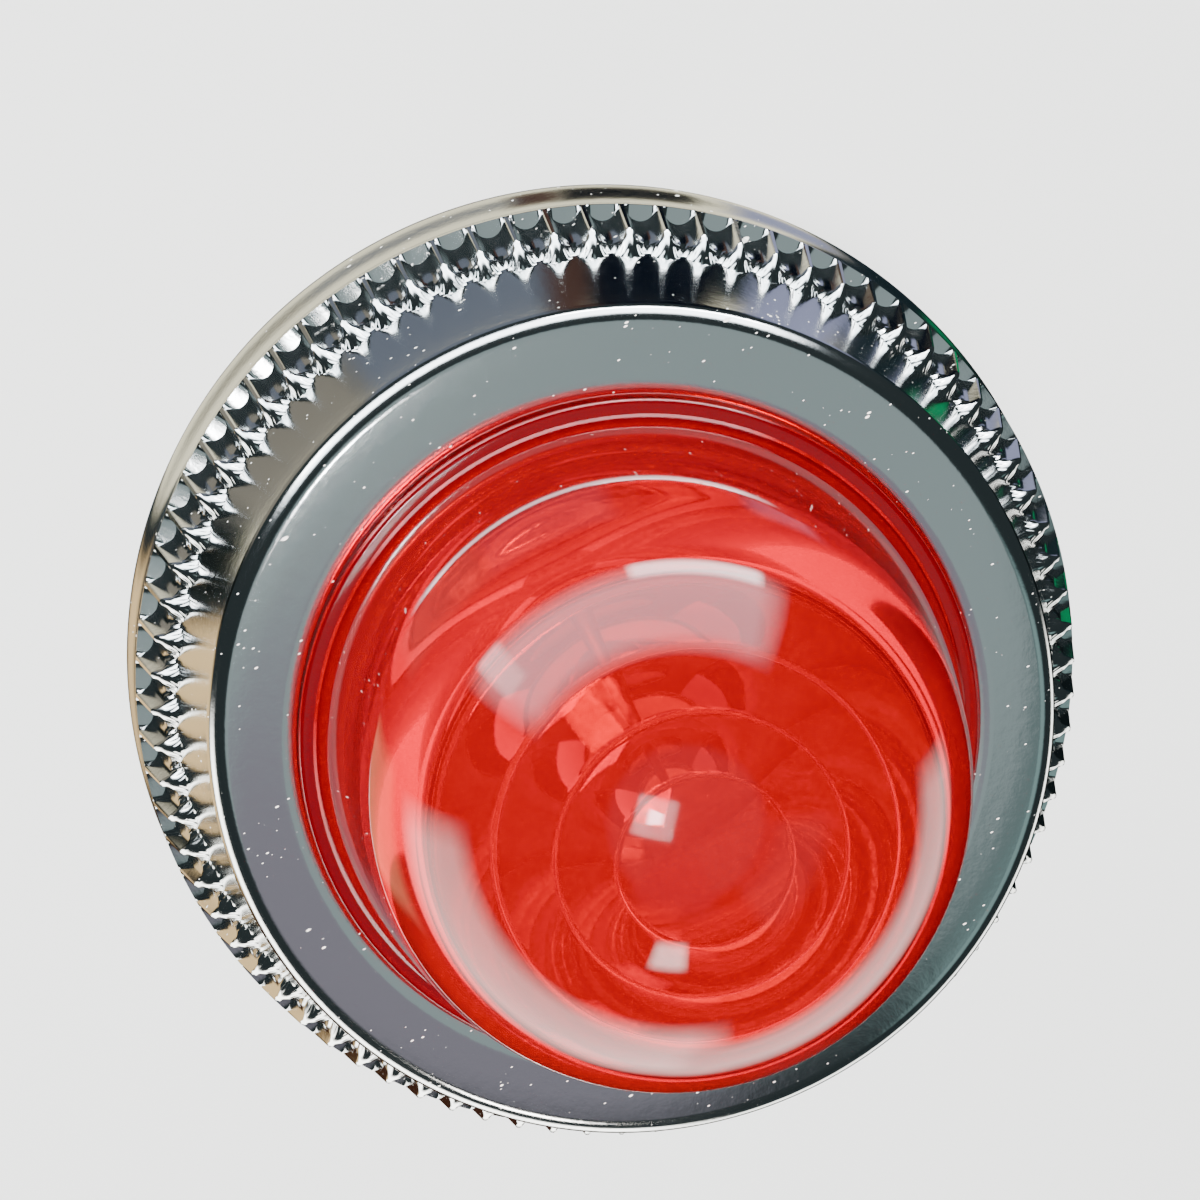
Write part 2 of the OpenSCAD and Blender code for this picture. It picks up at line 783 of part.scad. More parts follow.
module center_screw() {
    rotate([0, 0, 180])
        terminal_screw();
}

module shell_screw_washer() {
    wire_washer();
}

module center_screw_washer() {
    rotate([0, 0, 180])
        wire_washer();
}

// ----------------------------------------------------------------------- lamp

// The bulb's outline, drawn in by t for the inside of the glass
function bulb_outline(t) = concat(
    [[neck_r - t, bulb_foot], [neck_r - t, base_shell_top]],
    [for (i = [1:6]) let (share = i / 6)
        [neck_r - t + (bulb_r - neck_r) * (1 - cos(180 * share)) / 2,
            base_shell_top + (bulb_side_z - base_shell_top) * share]],
    [for (i = [0:7]) let (a = 90 * i / 8)
        [(bulb_r - t) * cos(a), bulb_side_top + (bulb_top_h - t) * sin(a)]]
);

module lamp_bulb() {
    inside = bulb_outline(glass_t);
    color([0.90, 0.93, 0.95, 0.4])
        rotate_extrude($fn = fine)
            polygon(concat(
                bulb_outline(0),
                [[0, bulb_top], [0, bulb_top - glass_t]],
                [for (i = [len(inside) - 1:-1:0]) inside[i]]
            ));
}

stem_rise = 1;
stem_top = bulb_side_z + stem_rise;
lead_x = 1.3;
lead_r = 0.3;

module lamp_stem() {
    foot_r = neck_r - glass_t - pass_gap;
    foot_h = 0.6;
    flare_h = 3;
    flare_r = 2.4;
    press_r = 2.2;
    press_h = 1;
    top_r = 1.9;
    color([0.85, 0.90, 0.92, 0.5])
        rotate_extrude($fn = round_fn)
            polygon([
                [0, bulb_foot], [foot_r, bulb_foot], [foot_r, bulb_foot + foot_h],
                [flare_r, bulb_foot + flare_h], [press_r, stem_top - press_h],
                [top_r, stem_top], [0, stem_top]
            ]);
}

// Two lead wires that lean apart and the filament bowed between their tips
module lamp_filament() {
    lead_l = 5.2;
    spread = 24;
    span = lead_x + lead_l * sin(spread);
    rise = lead_l * cos(spread);
    filament_r = 0.28;
    color([0.45, 0.45, 0.47])
        union() {
            for (side = [-1, 1])
                translate([side * lead_x, 0, stem_top + lead_r * sin(spread)])
                    rotate([0, side * spread, 0])
                        cylinder(r = lead_r, h = lead_l, $fn = 24);
            translate([0, 0, stem_top + rise - 0.1])
                rotate([90, 0, 0])
                    rotate_extrude(angle = 180, $fn = 64)
                        translate([span, 0])
                            circle(r = filament_r, $fn = 16);
        }
}

base_hole_r = 3.4;
base_plug_h = 1.5;

module lamp_base() {
    wall = 0.3;
    corner = 0.8;
    color([0.80, 0.64, 0.28])
        rotate_extrude($fn = fine)
            polygon([
                [base_hole_r, base_shell_z], [base_r - corner, base_shell_z],
                [base_r, base_shell_z + corner], [base_r, base_shell_top],
                [base_r - wall, base_shell_top], [base_r - wall, base_shell_z + corner + 0.1],
                [base_r - corner - 0.1, base_shell_z + wall], [base_hole_r, base_shell_z + wall]
            ]);
}

module lamp_base_insulator() {
    glass_edge = 1.1;
    color([0.06, 0.05, 0.07])
        rotate_extrude($fn = round_fn)
            polygon([
                [0, base_glass_z], [tip_d / 2, base_glass_z], [base_r - glass_edge, base_shell_z],
                [base_hole_r - pass_gap, base_shell_z], [base_hole_r - pass_gap, base_shell_z + base_plug_h],
                [0, base_shell_z + base_plug_h]
            ]);
}

module lamp_tip() {
    color([0.70, 0.70, 0.68])
        rotate_extrude($fn = round_fn)
            polygon([
                [0, tip_z], [tip_d / 2 - 0.7, tip_z], [tip_d / 2 - 0.2, tip_z + 0.3],
                [tip_d / 2, base_glass_z], [0, base_glass_z]
            ]);
}

bezel();
lens();
lens_gasket();
lens_snap_ring();
cap_gasket();
bushing();
panel_gasket();
lock_washer();
mounting_nut();
socket_bracket();
bracket_rivets();
socket_body();
screw_shell();
contact_plunger();
contact_spring();
contact_guide();
shell_eyelet();
rear_insulator();
center_terminal();
shell_terminal();
center_screw();
shell_screw();
center_screw_washer();
shell_screw_washer();
lamp_bulb();
lamp_stem();
lamp_filament();
lamp_base();
lamp_base_insulator();
lamp_tip();
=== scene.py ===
"""Looks of the panel pilot light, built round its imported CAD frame.

Sizes are in millimetres and turned to metres where a mesh is made. +Z runs along
the axis of the light towards its lens, and the origin is the centre of the panel seat.
"""

import math

import bpy
import numpy as np
from mathutils import Matrix, Vector


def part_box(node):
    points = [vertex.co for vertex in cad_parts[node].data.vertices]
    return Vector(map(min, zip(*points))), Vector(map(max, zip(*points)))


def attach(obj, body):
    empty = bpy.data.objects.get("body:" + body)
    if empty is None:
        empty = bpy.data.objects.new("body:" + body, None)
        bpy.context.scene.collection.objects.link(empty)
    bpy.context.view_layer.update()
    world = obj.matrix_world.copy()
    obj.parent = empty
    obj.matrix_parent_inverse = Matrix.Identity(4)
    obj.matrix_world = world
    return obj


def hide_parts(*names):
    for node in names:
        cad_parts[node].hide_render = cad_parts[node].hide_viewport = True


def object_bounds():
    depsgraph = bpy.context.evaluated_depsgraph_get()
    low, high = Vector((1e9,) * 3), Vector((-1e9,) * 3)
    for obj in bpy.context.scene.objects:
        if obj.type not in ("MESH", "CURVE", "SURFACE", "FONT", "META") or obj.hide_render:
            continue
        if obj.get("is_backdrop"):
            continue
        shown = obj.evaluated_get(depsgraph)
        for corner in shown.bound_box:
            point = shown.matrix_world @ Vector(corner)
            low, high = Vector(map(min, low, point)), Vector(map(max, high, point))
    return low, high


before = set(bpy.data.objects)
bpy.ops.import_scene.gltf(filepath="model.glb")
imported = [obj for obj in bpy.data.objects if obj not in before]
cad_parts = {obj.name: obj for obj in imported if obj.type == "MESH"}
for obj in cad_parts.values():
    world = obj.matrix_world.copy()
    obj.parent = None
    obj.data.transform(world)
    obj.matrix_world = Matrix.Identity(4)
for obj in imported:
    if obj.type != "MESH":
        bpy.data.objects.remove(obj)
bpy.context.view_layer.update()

MM = 0.001


# ---------------------------------------------------------------- knurled cap
# The cap is turned from brass, knurled with 80 round-bottomed grooves and chromed.
# The plating is old: dull on the flat face, with small pits, dust and pale specks.

def linear(hex_colour):
    """An sRGB hex colour as linear red, green, blue and alpha."""
    parts = [int(hex_colour[i:i + 2], 16) / 255 for i in (1, 3, 5)]
    return [c / 12.92 if c <= 0.04045 else ((c + 0.055) / 1.055) ** 2.4 for c in parts] + [1.0]


def add(tree, kind, inputs=None, **settings):
    """A new shader node: settings are its properties, and inputs its socket values or links."""
    made = tree.nodes.new(kind)
    for name, value in settings.items():
        setattr(made, name, value)
    for name, value in (inputs or {}).items():
        if isinstance(value, bpy.types.NodeSocket):
            tree.links.new(value, made.inputs[name])
        else:
            made.inputs[name].default_value = value
    return made


def material(name, colour, metallic=0.0, roughness=0.5, **more):
    """A Principled material. Returns it with its node tree and its Principled node."""
    made = bpy.data.materials.new(name)
    made.use_nodes = True
    made.node_tree.nodes.clear()
    tree = made.node_tree
    inputs = {"Base Color": linear(colour), "Metallic": metallic, "Roughness": roughness, **more}
    surface = add(tree, "ShaderNodeBsdfPrincipled", inputs)
    out = add(tree, "ShaderNodeOutputMaterial")
    tree.links.new(surface.outputs[0], out.inputs["Surface"])
    return made, tree, surface


def place(tree, scale=(1, 1, 1), turn=(0, 0, 0)):
    """Object coordinates in millimetres, turned and scaled."""
    where = add(tree, "ShaderNodeTexCoord")
    scaled = [s / MM for s in scale]
    return add(tree, "ShaderNodeMapping", {"Vector": where.outputs["Object"], "Rotation": turn,
                                           "Scale": scaled}).outputs[0]


def noise(tree, vector, scale, detail=2.0, roughness=0.5):
    return add(tree, "ShaderNodeTexNoise", {"Vector": vector, "Scale": scale, "Detail": detail,
                                            "Roughness": roughness}).outputs["Fac"]


def spread(tree, value, low, high, to_low=0.0, to_high=1.0):
    """value from low to high becomes to_low to to_high, held at the ends."""
    return add(tree, "ShaderNodeMapRange", {"Value": value, "From Min": low, "From Max": high,
                                            "To Min": to_low, "To Max": to_high}).outputs[0]


def calc(tree, operation, first, second=None):
    """One Math node on one or two values or links."""
    inputs = {0: first} if second is None else {0: first, 1: second}
    return add(tree, "ShaderNodeMath", inputs, operation=operation).outputs[0]


def mesh_piece(name, points, faces, surface, crease=30):
    """A smooth-shaded mesh from points in millimetres, with edges sharper than crease kept sharp."""
    data = bpy.data.meshes.new(name)
    data.from_pydata((np.asarray(points) * MM).tolist(), [], faces)
    data.shade_smooth()
    data.set_sharp_from_angle(angle=math.radians(crease))
    data.materials.append(surface)
    made = bpy.data.objects.new(name, data)
    bpy.context.scene.collection.objects.link(made)
    return made


def ring_faces(rows, columns):
    """Quads that join a grid of points whose columns and rows both run round and close."""
    i, j = np.arange(rows)[:, None], np.arange(columns)[None]
    down, across = (i + 1) % rows, (j + 1) % columns
    corners = [i * columns + j, i * columns + across, down * columns + across, down * columns + j]
    return np.stack(np.broadcast_arrays(*corners), -1).reshape(-1, 4).tolist()


def arc(centre_r, centre_z, radius, start, end, count):
    """Points on an arc in the section plane, from start to end degrees."""
    angle = np.radians(np.linspace(start, end, count))
    return np.stack([centre_r + radius * np.cos(angle), centre_z + radius * np.sin(angle)], 1)


RIM_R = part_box("bezel")[1].x / MM
CAP_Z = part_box("bezel")[0].z / MM
FACE_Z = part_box("bezel")[1].z / MM
FACE_R, SHOULDER_R = 13.8, 0.8
LENS_HOLE_R = 11.6
GRIP_Z = FACE_Z - 4.8
TIP_R, TIP_Z = RIM_R - 2, GRIP_Z - 0.6
FOOT_R = TIP_R - 1.1
SKIRT_R, SKIRT_Z = TIP_R + 1, GRIP_Z - 3.3
SEAT_R, SNAP_R, THREAD_R = 13.5, 14.3, 14.6
LIP_Z, RING_Z, GASKET_Z = FACE_Z - 1.2, FACE_Z - 4.75, FACE_Z - 3.9
LEDGE_Z = RING_Z - 1.2

GROOVES = 80
CUTTER_R = 0.57
GROOVE_DEPTH = 0.62
GROOVE_RUN = 3.2
STEPS = 12
# A nose is domed: NOSE_ALONG and NOSE_ACROSS are twice its radius along the axis and across it.
# It starts NOSE_BACK inside the slope's foot. Below the noses the slope widens by SLOPE_GAIN per mm.
NOSE_ALONG, NOSE_ACROSS, NOSE_BACK = 2.38, 0.6, 0.1
SLOPE_GAIN = 0.42


def cap_outline():
    """The cap's section from its rear inner edge, up the outside, over the face and down the bore.
    Returns its points, and the numbers of the first and last row that the knurl may reach."""
    skirt = np.linspace(1, 0, 13)[:-1]
    stop = GRIP_Z - GROOVE_RUN
    grip = np.concatenate([[SKIRT_Z, stop - 0.02, stop + 0.02], np.linspace(stop + 0.1, TIP_Z - 0.2, 13)])
    nose = np.linspace(TIP_Z - 0.2, GRIP_Z, 33)[1:]
    slope = np.array([0.004, 0.012, 0.03, 0.1, 0.22, 0.36, 0.52, 0.7, 0.86, 0.95, 1.0])
    shoulder_end = math.radians(20)
    top = np.array([FACE_R + SHOULDER_R * math.cos(shoulder_end),
                    FACE_Z - SHOULDER_R + SHOULDER_R * math.sin(shoulder_end)])
    rear = np.concatenate([
        [[THREAD_R, CAP_Z], [RIM_R - 0.3, CAP_Z], [RIM_R, CAP_Z + 0.3]],
        np.stack([SKIRT_R + (RIM_R - SKIRT_R) * (0.25 * skirt + 0.75 * np.sin(skirt ** 1.7 * math.pi / 2)),
                  SKIRT_Z + (CAP_Z + 1 - SKIRT_Z) * skirt], 1)])
    front = np.concatenate([
        np.stack([FOOT_R + (top[0] - FOOT_R) * slope - 0.24 * slope * (1 - slope),
                  GRIP_Z + (top[1] - GRIP_Z) * slope], 1),
        arc(FACE_R, FACE_Z - SHOULDER_R, SHOULDER_R, 30, 90, 9),
        [[12.9, FACE_Z], [12.2, FACE_Z], [LENS_HOLE_R + 0.12, FACE_Z], [LENS_HOLE_R, FACE_Z - 0.1]],
        [[LENS_HOLE_R, LIP_Z], [SEAT_R, LIP_Z], [SEAT_R, GASKET_Z + 0.05], [SNAP_R, GASKET_Z + 0.05]],
        [[SNAP_R, RING_Z - 0.05], [SEAT_R, RING_Z - 0.05], [SEAT_R, LEDGE_Z], [THREAD_R, LEDGE_Z]]])
    heights = np.concatenate([grip, nose])
    cone = TIP_R + (TIP_Z - heights) * (SKIRT_R - TIP_R) / (TIP_Z - SKIRT_Z)
    knurled = np.stack([cone, heights], 1)
    return np.concatenate([rear, knurled, front]), len(rear), len(rear) + len(knurled)


def knurl(outline, first, last):
    """Raises 80 teeth between round-floored grooves. A tooth's outside is the least of three
    radii: the plain cone, the groove's round floor and a domed nose, whose height falls with the
    square of the distance from the tooth's middle and from its root. The slope runs on below
    the noses. The columns crowd so that one always runs along each ridge."""
    radius, height = outline[:, 0], outline[:, 1]
    flare = (SKIRT_R - TIP_R) / (TIP_Z - SKIRT_Z)
    lean = math.atan(flare)
    along = (GRIP_Z - height) / math.cos(lean)
    floor_r = TIP_R - GROOVE_DEPTH - (GRIP_Z - TIP_Z) * flare
    axis = floor_r + CUTTER_R / math.cos(lean) + along * math.sin(lean)
    row = np.arange(len(outline))
    grip = (row >= first) & (row < last)
    gap = np.clip(axis - radius, 0, None)
    chord = np.sqrt(np.clip(CUTTER_R ** 2 - gap ** 2, 0, None)) * grip
    half = chord * (height > GRIP_Z - GROOVE_RUN)
    pitch = 2 * math.pi / GROOVES * radius
    ridge = np.where(chord > 0.05, np.clip(chord / pitch, 0, 0.45), 0.4)
    t = np.linspace(0, 1, STEPS // 2 + 1)
    inner, outer = np.minimum(t / 0.67, 1), np.clip((t - 0.67) / 0.33, 0, 1)
    u = ridge[:, None] * inner + (0.5 - ridge[:, None]) * outer
    y = u * pitch[:, None]
    deep = np.sqrt(np.clip(CUTTER_R ** 2 - y ** 2, 0, None))
    cut = (y < half[:, None] - 1e-4) & grip[:, None]
    r = np.where(cut, np.minimum(axis[:, None] - deep, radius[:, None]), radius[:, None])
    aside = (0.5 - u) * pitch[:, None]
    under = GRIP_Z + 0.004 - aside ** 2 / NOSE_ACROSS - height[:, None]
    nose = FOOT_R - NOSE_BACK + np.sqrt(np.clip(NOSE_ALONG * under, 0, None))
    slope = FOOT_R + (GRIP_Z - height[:, None]) * SLOPE_GAIN
    r = np.where(grip[:, None], np.maximum(np.minimum(r, nose), slope), r)
    u = np.concatenate([-u[:, :0:-1], u[:, :-1]], 1)
    r = np.concatenate([r[:, :0:-1], r[:, :-1]], 1)
    centres = (np.arange(GROOVES) + 0.5) * 2 * math.pi / GROOVES
    angle = (centres[None, :, None] + u[:, None, :] * 2 * math.pi / GROOVES).reshape(len(outline), -1)
    r = np.broadcast_to(r[:, None, :], (len(outline), GROOVES, STEPS)).reshape(len(outline), -1)
    z = np.broadcast_to(height[:, None], r.shape)
    return np.stack([r * np.cos(angle), r * np.sin(angle), z], -1)


def chrome_finish():
    """Old chrome plate: soft reflections, small pits, and pale dust in drawn-out specks."""
    made, tree, surface = material("old_chrome_plate", "#e0e3e4", metallic=1.0, roughness=0.12)
    fine = place(tree)
    drawn = place(tree, scale=(2.4, 1, 1), turn=(0, 0, math.radians(-63)))
    specks = None
    for scale, seat, low, high, reach in ((1.1, 0.9, 0.5, 0.72, 0.26), (2.4, 2.1, 0.42, 0.7, 0.3)):
        cells = add(tree, "ShaderNodeTexVoronoi", {"Vector": drawn, "Scale": scale, "Randomness": 1.0})
        patch = noise(tree, fine, seat * 0.35, 3.0)
        chance = add(tree, "ShaderNodeSeparateXYZ", {0: cells.outputs["Color"]}).outputs[0]
        sized = calc(tree, "MULTIPLY", chance, spread(tree, patch, low, high))
        radius = calc(tree, "MULTIPLY", sized, reach)
        inside = calc(tree, "SUBTRACT", radius, cells.outputs["Distance"])
        dot = spread(tree, inside, 0.0, 0.05)
        specks = dot if specks is None else calc(tree, "MAXIMUM", specks, dot)
    colour = add(tree, "ShaderNodeMix", {"Factor": specks, 6: linear("#e0e3e4"), 7: linear("#f6f3ea")},
                 data_type="RGBA").outputs[2]
    tree.links.new(colour, surface.inputs["Base Color"])
    tree.links.new(spread(tree, specks, 0, 1, 1, 0), surface.inputs["Metallic"])
    tree.links.new(spread(tree, specks, 0, 1, 0.12, 0.6), surface.inputs["Roughness"])
    pits = noise(tree, fine, 2.2, 5.0, 0.6)
    bump = add(tree, "ShaderNodeBump", {"Height": pits, "Strength": 0.25, "Distance": 0.00002})
    tree.links.new(bump.outputs[0], surface.inputs["Normal"])
    return made


chrome = chrome_finish()
cap_grid = knurl(*cap_outline())
cap = mesh_piece("cap", cap_grid.reshape(-1, 3), ring_faces(*cap_grid.shape[:2]), chrome, crease=40)
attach(cap, "lens_cap")
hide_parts("bezel")


# ----------------------------------------------------------------------- lens
# One moulded glass: a flange held behind the cap's lip, a collar, and a tapered dome
# with concentric steps moulded inside its top. Transparent ruby red.

COLLAR_R, COLLAR_Z = 11.5, FACE_Z + 0.6
DOME_TOP, DOME_TOP_R, DOME_FOOT_R = FACE_Z + 14.1, 9.36, 10.9
DOME_C = DOME_TOP - DOME_TOP_R
VAULT_R, BORE_R, LENS_Z = DOME_TOP_R - 1.8, 9.9, LIP_Z - 1.7
LENS_STEPS, FIRST_STEP, LAST_STEP = 4, 0.29, 0.867


def turned(outline, columns):
    """Points of a section turned round the axis; a point on the axis becomes a ring of no size."""
    angle = np.linspace(0, 2 * math.pi, columns, endpoint=False)
    r, z = outline[:, :1], outline[:, 1:]
    return np.stack([r * np.cos(angle), r * np.sin(angle), z + 0 * angle], -1)


def lathe(name, outline, surface, columns=128, crease=30):
    """A closed section turned round the axis. Where the section starts and ends on the axis,
    its first and last points become single poles."""
    outline = np.asarray(outline, float)
    rows = len(outline)
    grid = turned(outline, columns)
    if outline[0, 0] > 1e-6:
        return mesh_piece(name, grid.reshape(-1, 3), ring_faces(rows, columns), surface, crease)
    inner = grid[1:-1].reshape(-1, 3)
    points = np.concatenate([grid[0, :1], inner, grid[-1, :1]])
    j = np.arange(columns)
    across, last = (j + 1) % columns, 1 + (rows - 3) * columns
    fans = np.concatenate([np.stack([0 * j, 1 + across, 1 + j], 1),
                           np.stack([last + j, last + across, 0 * j + len(points) - 1], 1)])
    quads = np.array(ring_faces(rows - 2, columns)).reshape(rows - 2, columns, 4)[:-1].reshape(-1, 4) + 1
    return mesh_piece(name, points, fans.tolist() + quads.tolist(), surface, crease)


def taper_angle(r, z, top_r):
    """Degrees at which a straight side from (r, z) runs into a round top of radius top_r."""
    down = math.atan2(DOME_C - z, r)
    return math.degrees(math.acos(top_r / math.hypot(r, DOME_C - z)) - down)


def vault_z(r):
    return DOME_C + math.sqrt(VAULT_R ** 2 - r ** 2)


def lens_outline():
    """The lens's section from the middle of the vault, down the bore, round the flange, up the dome."""
    apart = (LAST_STEP - FIRST_STEP) / (LENS_STEPS - 1)
    radii = [0.0] + [VAULT_R * (FIRST_STEP + apart * k) for k in range(LENS_STEPS)]
    steps = [[0, vault_z(0)]]
    for inner, outer in zip(radii, radii[1:]):
        low, high = vault_z(outer), vault_z(inner)
        lip = low + 0.6 * (high - low)
        steps += [[outer - 0.12, lip], [outer - 0.03, lip - 0.04], [outer, lip - 0.12]]
        steps += [[outer, low + 0.08], [outer + 0.08, low]]
    start = math.degrees(math.acos(LAST_STEP)) - 3
    vault = arc(0, DOME_C, VAULT_R, start, taper_angle(BORE_R, COLLAR_Z, VAULT_R), 14)
    flange = SEAT_R - 0.2
    edge = arc(COLLAR_R - 0.2, COLLAR_Z - 0.2, 0.2, 0, 90, 6)
    dome = arc(0, DOME_C, DOME_TOP_R, taper_angle(DOME_FOOT_R, COLLAR_Z, DOME_TOP_R), 90, 48)
    return np.concatenate([
        steps, vault, [[BORE_R, COLLAR_Z], [BORE_R, LENS_Z + 0.1], [BORE_R + 0.1, LENS_Z]],
        [[flange - 0.1, LENS_Z], [flange, LENS_Z + 0.1], [flange, LIP_Z]],
        [[COLLAR_R, LIP_Z]], edge, [[DOME_FOOT_R + 0.1, COLLAR_Z], [DOME_FOOT_R, COLLAR_Z + 0.08]], dome,
    ])


def glass(name, colour, roughness=0.02, ior=1.5, shade=None, clear=1.0):
    """Clear glass of a colour. Lamps shine through it: to shadow rays it is plain coloured film."""
    inputs = {"IOR": ior, "Transmission Weight": clear}
    made, tree, surface = material(name, colour, roughness=roughness, **inputs)
    path = add(tree, "ShaderNodeLightPath")
    film = add(tree, "ShaderNodeBsdfTransparent", {"Color": linear(shade or colour)})
    both = add(tree, "ShaderNodeMixShader", {0: path.outputs["Is Shadow Ray"], 1: surface.outputs[0],
                                             2: film.outputs[0]})
    out = next(n for n in tree.nodes if n.type == "OUTPUT_MATERIAL")
    tree.links.new(both.outputs[0], out.inputs["Surface"])
    return made


ruby_glass = glass("ruby_glass", "#f00024", roughness=0.03, ior=1.5, shade="#ff4060", clear=0.93)
lens = lathe("lens_glass", lens_outline(), ruby_glass, columns=192, crease=35)
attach(lens, "lens_cap")
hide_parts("lens")


# ------------------------------------------------------------- other materials
# The pieces with no mesh of their own keep their CAD solids and take the real finishes:
# rubber, spring steel, plated brass and steel, phenolic, fibre, bare brass and solder.

def paint(nodes, surface):
    """Gives CAD nodes their material."""
    for name in nodes:
        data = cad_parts[name].data
        data.materials.clear()
        data.materials.append(surface)


rubber = material("black_rubber", "#1b1b1c", roughness=0.75)[0]
paint(["lens_gasket", "cap_gasket", "panel_gasket"], rubber)
spring_steel = material("spring_steel", "#8d9092", metallic=1.0, roughness=0.32)[0]
paint(["lens_snap_ring", "contact_spring"], spring_steel)
nickel = material("nickel_plate", "#c3c0b6", metallic=1.0, roughness=0.24)[0]
paint(["bushing", "mounting_nut", "bracket_rivets"], nickel)
plated_steel = material("zinc_plated_steel", "#a9acae", metallic=1.0, roughness=0.36)[0]
paint(["lock_washer", "socket_bracket"], plated_steel)
phenolic = material("brown_phenolic", "#2c1a12", roughness=0.35)[0]
paint(["socket_body"], phenolic)
brass = material("contact_brass", "#c9a24e", metallic=1.0, roughness=0.3)[0]
paint(["screw_shell", "contact_plunger", "contact_guide", "shell_eyelet", "center_terminal",
       "shell_terminal", "center_screw", "shell_screw"], brass)
fibre = material("red_fibre", "#6b2a1c", roughness=0.7)[0]
paint(["rear_insulator"], fibre)
tinned = material("tinned_brass", "#b9b7ae", metallic=1.0, roughness=0.34)[0]
paint(["center_screw_washer", "shell_screw_washer"], tinned)
lamp_wire = material("lamp_wire", "#6f7072", metallic=1.0, roughness=0.35)[0]
paint(["lamp_filament"], lamp_wire)
lamp_brass = material("lamp_base_brass", "#b8924a", metallic=1.0, roughness=0.34)[0]
paint(["lamp_base"], lamp_brass)
black_glass = material("black_base_glass", "#120c14", roughness=0.12)[0]
paint(["lamp_base_insulator"], black_glass)
solder = material("solder", "#9c9c9a", metallic=1.0, roughness=0.45)[0]
paint(["lamp_tip"], solder)


# ----------------------------------------------------------------------- lamp
# A small clear incandescent bulb: its glass shows through the red dome.

def bulb_outline():
    """The bulb's section: inside of the glass from the top down to the neck, then the outside up."""
    top, side_top, side_z = FACE_Z + 5, FACE_Z - 4, FACE_Z - 15
    bulb_r, neck_r, thick = 9.3, 5.4, 0.7
    neck_top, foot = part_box("lamp_base")[1].z / MM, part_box("lamp_bulb")[0].z / MM
    share = np.linspace(0, 1, 12)
    flare = neck_r + (bulb_r - neck_r) * (1 - np.cos(math.pi * share)) / 2
    rise = neck_top + (side_z - neck_top) * share
    angle = np.radians(np.linspace(0, 90, 20))
    across, up = np.cos(angle), np.sin(angle)
    crown = np.stack([bulb_r * across, side_top + (top - side_top) * up], 1)
    hollow = np.stack([(bulb_r - thick) * across, side_top + (top - side_top - thick) * up], 1)
    outside = np.concatenate([[[neck_r, foot]], np.stack([flare, rise], 1), crown])
    inside = np.concatenate([hollow[::-1], np.stack([flare - thick, rise], 1)[::-1],
                             [[neck_r - thick, foot]]])
    made = np.concatenate([inside, outside])
    made[[0, -1], 0] = 0
    return made


clear_glass = glass("clear_lamp_glass", "#f4f6f6", roughness=0.01, ior=1.5)
bulb = lathe("bulb_glass", bulb_outline(), clear_glass, columns=96, crease=35)
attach(bulb, "lamp")
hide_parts("lamp_bulb")
paint(["lamp_stem"], clear_glass)


# ----------------------------------------------------------- camera and studio
# The camera stands close over the cap, tilted fifteen degrees towards -X. The floor
# is pale; soft cards of muted colour stand round the set for the chrome to mirror.

def studio_camera():
    """Looks along the axis from in front of the knurl's front end, rolled so that the -X side is
    up and left, then turned so that the point it is aimed by sits low in the picture."""
    tilt, roll = math.radians(15.09), math.radians(63.14)
    aim, distance = Vector((0, 0, 11.85)), 60.0
    back = Vector((-math.sin(tilt), 0, math.cos(tilt)))
    forward = -back
    axis = (Vector((0, 0, 1)) - forward.z * forward).normalized()
    side = forward.cross(axis)
    right = math.cos(roll) * axis - math.sin(roll) * side
    down = math.sin(roll) * axis + math.cos(roll) * side
    rows = Matrix((right, down, forward))
    target = Vector((math.tan(math.radians(0.972)), math.tan(math.radians(3.756)), 1)).normalized()
    swing = Vector((0, 0, 1)).rotation_difference(target).to_matrix()
    rows = swing @ rows
    about = Matrix.Rotation(math.radians(-0.42), 4, "Z")
    data = bpy.data.cameras.new("camera")
    data.lens, data.sensor_width = 49.07, 36
    data.clip_start, data.clip_end = 0.001, 10
    camera = bpy.data.objects.new("camera", data)
    bpy.context.scene.collection.objects.link(camera)
    turned_axes = Matrix((rows[0], -rows[1], -rows[2])).transposed().to_4x4()
    turned_axes.translation = (aim + back * distance) * MM
    camera.matrix_world = about @ turned_axes
    bpy.context.scene.camera = camera


def floor():
    """A wide pale floor below the light's terminals."""
    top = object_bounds()[0].z - 0.002
    data = bpy.data.meshes.new("floor")
    half = 3.0
    corners = [(-half, -half, top), (half, -half, top), (half, half, top), (-half, half, top)]
    data.from_pydata(corners, [], [(0, 1, 2, 3)])
    data.materials.append(material("pale_floor", "#e9e9e7", roughness=0.9)[0])
    made = bpy.data.objects.new("floor", data)
    bpy.context.scene.collection.objects.link(made)
    made.visible_glossy = False
    made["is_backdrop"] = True


def card(tree, ways, under, middle, half, soft, colour, strength):
    """Lays a soft-edged card of light over the sky colour under it. Its middle and its half size
    are in degrees of azimuth and elevation; soft is how far its edge fades."""
    toward = [math.cos(math.radians(middle[0])), math.sin(math.radians(middle[0])), 0.0]
    facing = add(tree, "ShaderNodeVectorMath", {0: ways[0], 1: toward}, operation="DOT_PRODUCT")
    off = calc(tree, "ABSOLUTE", calc(tree, "SUBTRACT", ways[1], middle[1]))
    low, high = (math.cos(math.radians(min(max(half[0] + k * soft, 0), 180))) for k in (0.5, -0.5))
    across = spread(tree, facing.outputs["Value"], low, high) if half[0] < 180 else 1.0
    up = spread(tree, off, half[1] + soft / 2, max(half[1] - soft / 2, 0))
    share = calc(tree, "MULTIPLY", across, up)
    bright = [c * strength for c in linear(colour)[:3]] + [1.0]
    return add(tree, "ShaderNodeMix", {"Factor": share, 6: under, 7: bright}, data_type="RGBA").outputs[2]


